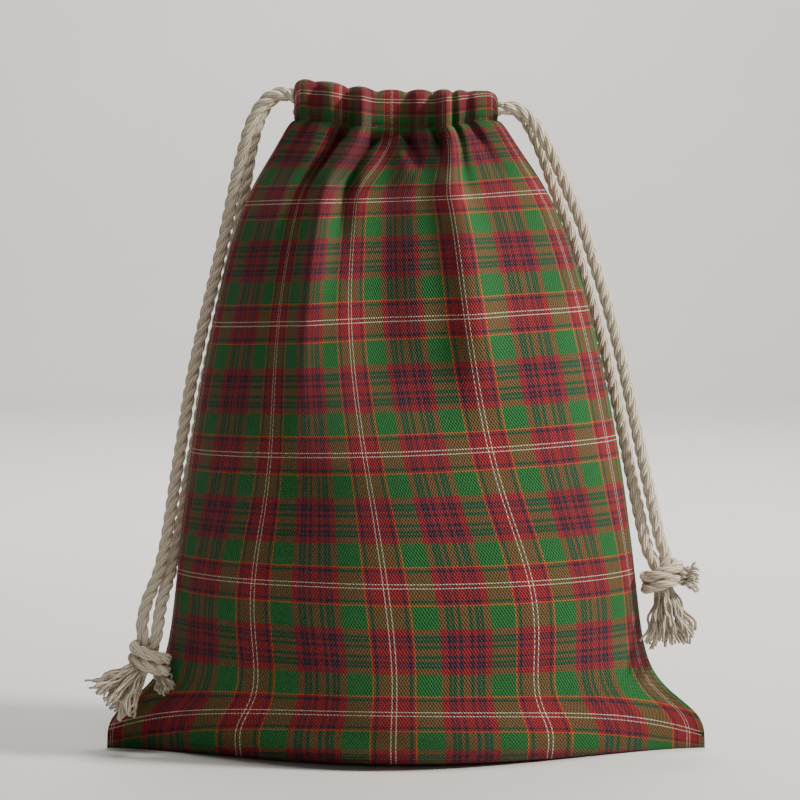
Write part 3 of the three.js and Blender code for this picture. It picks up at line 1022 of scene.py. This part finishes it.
def seam_strip(name, line, inward, material):
    """A seam's allowances inside the bag: a flat strip, SEAM_WIDTH wide, that follows the seam's line."""
    across = [(0.5, 0), (0.15, 0.5), (-0.15, 0.5), (-0.5, 0), (-0.15, -0.5), (0.15, -0.5)]
    along = lengths_along(line)
    tangents = np.gradient(line, axis=0)
    up = np.cross(tangents, inward)
    up /= np.linalg.norm(up, axis=1)[:, None]
    points, uvs = [], []
    for j, middle in enumerate(line):
        ripple = 0.25 * MM * math.sin(along[j] / (2.2 * MM))
        for wide, thick in across:
            points.append(middle + inward[j] * SEAM_WIDTH * wide + up[j] * (SEAM_THICK * thick + ripple))
            uvs.append((along[j], wide * SEAM_WIDTH))
    piece = new_object(f"{name}_cloth", points, tube_faces(len(line), len(across)), uvs)
    dress(piece, material, "seam_allowance", name)
    return piece


def seams(points, index, material):
    """The side seams' allowances and the bottom one's."""
    grid = index["front"]
    for side, half in SIDE_NAMES.items():
        edge = points[grid[:TOP_ROW + 1, 0 if side < 0 else -1]]
        edge = edge[(edge[:, 2] > 30 * MM) & (edge[:, 2] < PANEL_TOP - 3 * MM)]
        inward = np.tile([-side, 0.0, 0.0], (len(edge), 1))
        line = edge + inward * (SEAM_INSET + SEAM_WIDTH / 2)
        piece = seam_strip(f"{half}_side_seam", line, inward, material)
        mouth_blend(piece)
    x = np.linspace(-120 * MM, 120 * MM, 97)
    y = -SEAM_FORWARD * (1 - (x / CORNER_HALF) ** 2) ** 2 + SEAM_WIDTH / 2
    line = np.stack([x, y, np.full_like(x, 3.1 * MM)], axis=1)
    inward = np.tile([0.0, 1.0, 0.0], (len(x), 1))
    piece = seam_strip("bottom_seam", line, inward, material)
    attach(piece, "sack")


def bar_tack(side, material):
    """Close satin stitches across the end of the neck, where the casing's slit starts."""
    name = SIDE_NAMES[side]
    half = TACK_LENGTH / 2
    middle = NECK_X + side * (NECK_HALF - TACK_INSET)
    bottom = TACK_BOTTOM - sag(side, PANEL_TOP)
    shapes = []
    for y in np.linspace(-half, half, TACK_STITCHES):
        bow = np.linspace(0, math.pi, STITCH_POINTS)
        x = middle + 0.8 * MM * np.cos(bow)
        z = bottom + 0.4 * MM + 0.9 * MM * np.sin(bow)
        line = np.stack([x, np.full_like(x, NECK_Y + y), z], axis=1)
        shapes.append(thread(line, [THREAD / 2] * len(line)))
    core = np.array([(middle, NECK_Y + y, bottom + 0.5 * MM) for y in np.linspace(-half, half, 9)])
    shapes.append(thread(core, [0.7 * MM] * len(core)))
    piece = new_object(f"{name}_bar_tack_thread", *join(shapes))
    dress(piece, material, "thread", f"{name}_bar_tack")
    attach(piece, f"{name}_mouth_end")


def bag_normals(points, index):
    """The normals of the whole bag, so that pieces cut from it shade as one."""
    whole = new_object("bag", points, bag_faces(index, "front") + bag_faces(index, "back"))
    normals = np.array([v.normal[:] for v in whole.data.vertices])
    bpy.data.objects.remove(whole)
    return normals


def cloth_pieces(material):
    """The panels, casings and slits, each in halves."""
    points, index, uvs = bag()
    points = points + settle(points, index)
    normals = bag_normals(points, index)
    middle = COLUMNS // 2
    panel_rows, casing_span = slice(0, TOP_ROW + 1), slice(TOP_ROW, None)
    for face in FACINGS:
        sheet = (points, normals, index[face], uvs[face])
        across = points[index[face][TOP_ROW + 1], 0] - NECK_X
        for side, half in SIDE_NAMES.items():
            slit = int(np.argmin(abs(across - side * CASING_HALF)))
            whole = slice(0, middle + 1) if side < 0 else slice(middle, None)
            held = slice(slit, middle + 1) if side < 0 else slice(middle, slit + 1)
            free = slice(0, slit + 1) if side < 0 else slice(slit, None)
            cuts = [
                (f"{half}_{face}_cloth", panel_rows, whole, f"{face}_panel"),
                (f"{face}_casing_{half}", casing_span, held, f"{face}_casing"),
                (f"{face}_casing_{half}_slit", casing_span, free, f"{half}_{face}_slit_hem"),
            ]
            for name, rows, columns, node in cuts:
                piece = cloth_piece(name, rows, columns, sheet, material, node)
                mouth_blend(piece)
    thread_material = sewing_thread()
    for face in FACINGS:
        casing_stitches(face, points, normals, index[face], thread_material)
    for side in SIDE_NAMES:
        bar_tack(side, thread_material)
    seams(points, index, overlocked_cloth())


# ---------------------------------------------------------------- stage

def floor():
    """A pale table top that sweeps up into a backdrop."""
    half = 5.0
    front, back = -4.0, 2.4
    radius, height = 0.8, 4.0
    profile = [(front, 0.0)]
    for angle in np.linspace(0, math.pi / 2, 17):
        profile.append((back + radius * math.sin(angle), radius * (1 - math.cos(angle))))
    profile.append((back + radius, height))
    points = [(x, y, z) for y, z in profile for x in (-half, half)]
    piece = new_object("floor", points, grid_faces(len(profile), 2))
    piece.data.materials.append(plain_floor())


def area_light(name, place, aim, size, power, colour):
    """A round lamp of so many watts, turned to the point it lights."""
    data = bpy.data.lights.new(name, "AREA")
    data.shape = "DISK"
    data.size = size
    data.energy = power
    data.color = colour
    light = bpy.data.objects.new(name, data)
    light.location = place
    direction = Vector(aim) - Vector(place)
    light.rotation_euler = direction.to_track_quat("-Z", "Y").to_euler()
    bpy.context.scene.collection.objects.link(light)


def lighting():
    middle = (0, 0, 0.16)
    area_light("key", (1.52, -0.44, 1.30), middle, 0.35, 56, (1.0, 0.96, 0.90))
    area_light("fill", (0.2, -1.9, 0.9), middle, 1.2, 1.0, (0.97, 0.97, 1.0))
    area_light("top", (0.15, -0.30, 1.65), middle, 0.5, 10, (1.0, 0.98, 0.95))
    area_light("backdrop", (0, 0.8, 1.9), (0, 2.9, 0.5), 1.2, 75, (1.0, 0.99, 0.97))
    world = bpy.data.worlds.new("studio")
    world.use_nodes = True
    background = world.node_tree.nodes["Background"]
    background.inputs["Color"].default_value = (0.80, 0.78, 0.74, 1)
    background.inputs["Strength"].default_value = 0.125
    bpy.context.scene.world = world


make_camera()
cords()
cloth_pieces(tartan())
floor()
lighting()
